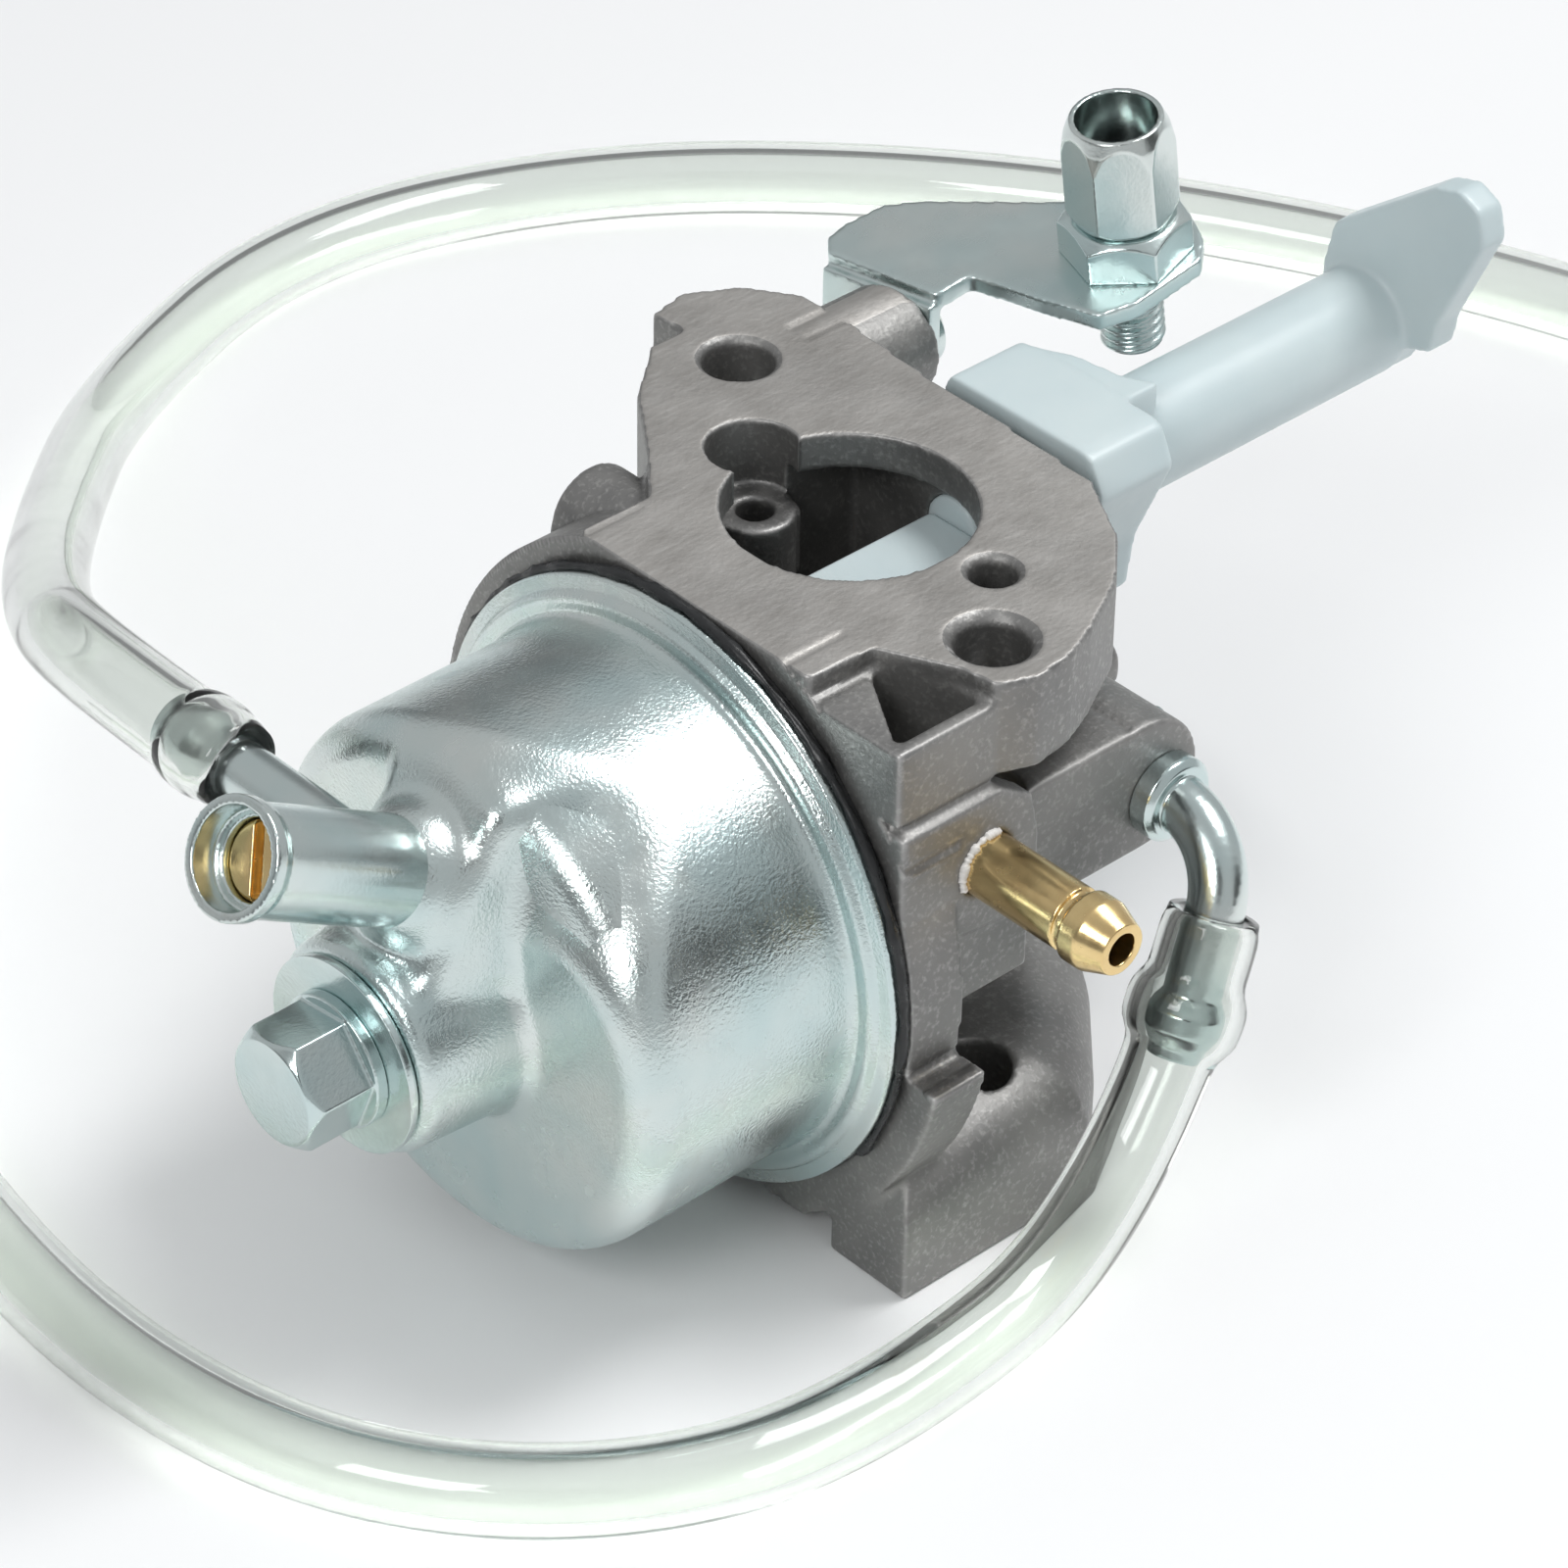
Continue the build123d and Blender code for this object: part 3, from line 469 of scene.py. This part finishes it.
def hollow_tube(name, points, outer, inner, material, segments=40):
    """A tube with its own outer and inner radius at each point of its line."""
    count = len(points)
    tangents = [(points[min(i + 1, count - 1)] - points[max(i - 1, 0)]).normalized() for i in range(count)]
    side = tangents[0].orthogonal().normalized()
    rings = []
    for point, tangent, far, near in zip(points, tangents, outer, inner):
        side = (side - tangent * side.dot(tangent)).normalized()
        up = tangent.cross(side)
        angles = [2 * math.pi * j / segments for j in range(segments)]
        spokes = [side * math.cos(a) + up * math.sin(a) for a in angles]
        rings.append(([point + s * far for s in spokes], [point + s * near for s in spokes]))
    rows = [ring[0] for ring in rings] + [ring[1] for ring in reversed(rings)]
    flat = [p for row in rows for p in row]
    return add_mesh(name, flat, strip_faces(len(rows), segments, close_rows=True), material)


def swell(marks, mouth, bead_at, bead_r, bead_length):
    """Outer and inner radius along a hose that is pushed over a barb with a bead."""
    wall = 1.35 * MM
    outer = []
    for s in marks:
        lip = 0.35 * MM * math.exp(-((s / (1.0 * MM)) ** 2))
        stretch = mouth * (1 / (1 + math.exp((s - bead_at - bead_length) / (0.9 * MM))))
        bead = bead_r * math.exp(-(((s - bead_at) / bead_length) ** 4))
        outer.append(HOSE_R + stretch + bead - lip)
    return outer, [r - wall for r in outer]


def add_hose(name, route, mouth, bead_at, bead_r, bead_length):
    line = spline_points(name + "_line", route)
    points, marks = along_line(line, 0.6 * MM)
    outer, inner = swell(marks, mouth, bead_at, bead_r, bead_length)
    piece = hollow_tube(name + "_clear", points, outer, inner, FINISH["clear_hose"])
    fit(piece, name)
    return piece


add_hose("vent_hose", VENT_ROUTE, 0.35 * MM, 9.0 * MM, 0.95 * MM, 2.6 * MM)
add_hose("drain_hose", DRAIN_ROUTE, 0.2 * MM, 4.5 * MM, 0.35 * MM, 2.0 * MM)


# ---------------------------------------------------------------- float bowl
DRAIN_TILT = math.radians(30.3)
FACET = Vector((-math.cos(DRAIN_TILT), 0, math.sin(DRAIN_TILT)))
FOOT = Vector((-67.9, -0.9, -2.9)) - FACET * 20.8  # where the drain tube stands on the bowl, mm


def smooth_min(a, b, k):
    h = np.clip(0.5 + 0.5 * (b - a) / k, 0, 1)
    return b * (1 - h) + a * h - k * h * (1 - h)


def smooth_max(a, b, k):
    return -smooth_min(-a, -b, k)


def capped(radial, depth, radius, reach, rounding):
    """Distance to a round can of that radius, reaching to that depth, with a rounded edge."""
    qr, qd = radial - (radius - rounding), depth - (reach - rounding)
    outside = np.hypot(np.maximum(qr, 0), np.maximum(qd, 0))
    return outside + np.minimum(np.maximum(qr, qd), 0) - rounding


def bowl_distance(p):
    """Signed distance in mm to the pressed bowl's outer skin. Depth runs along -X."""
    y, z = p[:, 1] - BOWL_Y / MM, p[:, 2] - BOWL_Z / MM
    radial, depth = np.hypot(y, z), -p[:, 0]
    spot = np.degrees(np.arctan2(z, y)) % 360
    can = capped(radial, depth, 24.8, 45.6, 3.6 + 9.5 * np.exp(-(((spot - 120) / 23) ** 2)))
    boss = capped(radial, depth, 9.7 + 0.06 * (56.5 - depth), 56.45, 1.2)
    rel = p - np.array(FOOT)
    height = rel @ np.array(FACET)
    side = np.abs(p[:, 1] - FOOT.y) - (6.4 + 0.35 * np.maximum(0, -height))
    ramp = smooth_max(smooth_max(height, side, 1.6), 6.0 - z, 3.0)
    ramp = smooth_max(ramp, radial - 23.6, 2.0)
    dome = np.linalg.norm(p - np.array(FOOT - FACET * 1.6), axis=1) - 6.5
    shape = smooth_min(can, boss, 1.8)
    shape = smooth_min(shape, ramp, 1.4)
    return smooth_min(shape, dome, 1.6)


def add_bowl():
    segments = 300
    rim = [(0.0, 23.0), (0.0, 28.3), (0.15, RIM_R / MM), (0.95, RIM_R / MM), (1.1, 28.3), (1.15, 27.35),
           (1.35, 27.1), (1.75, 26.95), (1.98, 26.6), (2.02, 26.1), (1.9, 25.6), (1.95, 25.3),
           (2.3, 25.0), (2.9, 24.85), (4.0, 24.8), (9.0, 24.8)]
    rings = []
    spin = np.linspace(0, 2 * math.pi, segments, endpoint=False)
    for depth, radius in rim:
        rings.append(np.stack([np.full(segments, RIM_X / MM - depth), BOWL_Y / MM + radius * np.cos(spin),
                               BOWL_Z / MM + radius * np.sin(spin)], 1))
    centre = np.array([-30.0, BOWL_Y / MM, BOWL_Z / MM])
    for lean in np.radians(np.linspace(88, 7.0, 240)):
        out = math.sin(lean)
        ray = np.stack([np.full(segments, -math.cos(lean)), out * np.cos(spin), out * np.sin(spin)], 1)
        reach = np.full(segments, 60.0)
        for _ in range(60):
            reach -= 0.7 * bowl_distance(centre + ray * reach[:, None])
        rings.append(centre + ray * reach[:, None])
    inner = [(34.6, 3.0), (34.0, 8.6), (23.4, 9.2), (23.3, 21.0), (21.0, 23.2), (0.4, 23.2)]
    for depth, radius in inner:
        rings.append(np.stack([np.full(segments, RIM_X / MM - depth), BOWL_Y / MM + radius * np.cos(spin),
                               BOWL_Z / MM + radius * np.sin(spin)], 1))
    points = np.concatenate(rings) * MM
    faces = strip_faces(len(rings), segments, close_rows=True)
    piece = add_mesh("float_bowl_skin", points, faces, BOWL_ZINC)
    return fit(piece, "float_bowl")


add_bowl()


# ---------------------------------------------------------------- body and the hard parts
BODY_ROUNDS = [
    ((15.0, 23.0, -5.5), (1, 0, 0), 5.4, 11.0),
    ((11.6, -24.6, -21.8), (0, 1, 0), 6.6, 14.0),
    ((-10.6, 14.0, -6.5), (0, 1, 0), 4.6, 7.0),
    ((0, 0, -3.4), (0, 0, 1), 11.1, 3.2),
    ((0, 12.2, -13.0), (0, 0, 1), 4.2, 12.8),
    ((8.58, 23.44, -9.0), (0, 0, 1), 3.25, 8.3),
    ((-4.58, -22.07, -9.0), (0, 0, 1), 3.25, 8.0),
    ((-20.0, BOWL_Y / MM, BOWL_Z / MM), (1, 0, 0), 31.0, 6.5),
]
rounded("carburetor_body", 0.36 * MM, 3, rounds=BODY_ROUNDS)
rounded("choke_lever", 0.32 * MM, 6)
rounded("choke_plate", 0.25 * MM, 3)
rounded("cable_bracket", 0.22 * MM, 5, zinc("bracket_zinc", 900, 0.12, 0.3))
adjuster = rounded("cable_adjuster", 0.14 * MM, 4)
rise = math.radians(9.0)
threaded(adjuster.data, (44.1, 10.8, 2.6), (-math.sin(rise), 0, math.cos(rise)), -10.1, -1.9, 3.0, 1.0, 0.5)
rounded("adjuster_lock_nut", 0.14 * MM, 4)
rounded("bowl_bolt", 0.13 * MM, 3)
rounded("bowl_bolt_washer", 0.12 * MM, 2)
rounded("drain_tube", 0.16 * MM, 4)
rounded("drain_screw", 0.12 * MM, 3)
rounded("drain_barb", 0.14 * MM, 3)
rounded("vent_elbow", 0.14 * MM, 4)
rounded("fuel_inlet_barb", 0.13 * MM, 2)
rounded("throttle_lever", 0.18 * MM, 4)
rounded("bowl_gasket", 0.16 * MM, 2)


ooze = lumpy("gasket_ooze", (-20.9, BOWL_Y / MM, BOWL_Z / MM), (1, 0, 0), 28.65, 20, 215, 0.75, 4,
             FINISH["black_rubber"])
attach(ooze, "carburetor")
smear = lumpy("inlet_sealant", (-10, -28.1, -17.3), (0, -1, 0), 3.1, 70, 205, 0.55, 9, white_sealant())
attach(smear, "carburetor")


# ---------------------------------------------------------------- stage and light
def add_stage():
    size = 3.0
    corners = [(x * size, y * size, FLOOR_Z) for x, y in ((-1, -1), (1, -1), (1, 1), (-1, 1))]
    paper = Shader("paper", (0.86, 0.865, 0.87), 0.0, 0.6)
    floor = add_mesh("floor", corners, [(0, 1, 2, 3)], paper.material, smooth=False)


def add_area(name, place, target, size, power, color=(1, 1, 1)):
    data = bpy.data.lights.new(name, "AREA")
    data.shape = "RECTANGLE"
    data.size, data.size_y = size
    data.energy = power
    data.color = color
    lamp = bpy.data.objects.new(name, data)
    bpy.context.scene.collection.objects.link(lamp)
    lamp.location = place
    lamp.rotation_euler = (Vector(target) - Vector(place)).to_track_quat("-Z", "Y").to_euler()
    return lamp


def add_world():
    """A pale room with dark patches, for the plated parts to reflect."""
    world = bpy.data.worlds.new("room")
    bpy.context.scene.world = world
    world.use_nodes = True
    tree = world.node_tree
    coords = tree.nodes.new("ShaderNodeTexCoord").outputs["Generated"]
    value = None
    for direction, inside, outside, depth in WORLD_PATCHES:
        dot = tree.nodes.new("ShaderNodeVectorMath")
        dot.operation = "DOT_PRODUCT"
        dot.inputs[1].default_value = Vector(direction).normalized()
        tree.links.new(coords, dot.inputs[0])
        ramp = tree.nodes.new("ShaderNodeMapRange")
        ramp.interpolation_type = "SMOOTHSTEP"
        ramp.inputs["From Min"].default_value = math.cos(math.radians(outside))
        ramp.inputs["From Max"].default_value = math.cos(math.radians(inside))
        ramp.inputs["To Min"].default_value = 1.0
        ramp.inputs["To Max"].default_value = depth
        tree.links.new(dot.outputs["Value"], ramp.inputs["Value"])
        if value is None:
            value = ramp.outputs["Result"]
        else:
            times = tree.nodes.new("ShaderNodeMath")
            times.operation = "MULTIPLY"
            tree.links.new(value, times.inputs[0])
            tree.links.new(ramp.outputs["Result"], times.inputs[1])
            value = times.outputs[0]
    background = tree.nodes["Background"]
    background.inputs["Color"].default_value = (0.97, 0.985, 1.0, 1)
    strength = tree.nodes.new("ShaderNodeMath")
    strength.operation = "MULTIPLY"
    strength.inputs[1].default_value = WORLD_LEVEL
    tree.links.new(value, strength.inputs[0])
    tree.links.new(strength.outputs[0], background.inputs["Strength"])


WORLD_LEVEL = 0.53
WORLD_PATCHES = [
    ((-0.552, -0.585, 0.594), 8, 16, 0.02),
    ((0.55, -0.82, 0.08), 8, 24, 0.1),
    ((0.5, 0.8, 0.22), 8, 30, 0.4),
    ((-0.95, 0.1, 0.2), 12, 40, 0.45),
    ((0.5, -0.2, 0.84), 8, 24, 2.4),
]
bpy.context.scene.view_settings.view_transform = "Standard"
add_stage()
add_world()
add_area("key", (0.35, -0.15, 0.7), (0, 0, -0.02), (0.3, 0.3), 3.6)
add_area("fill", (-0.62, -0.2, 0.5), (0, 0, -0.01), (0.3, 0.3), 2.2)
add_camera()
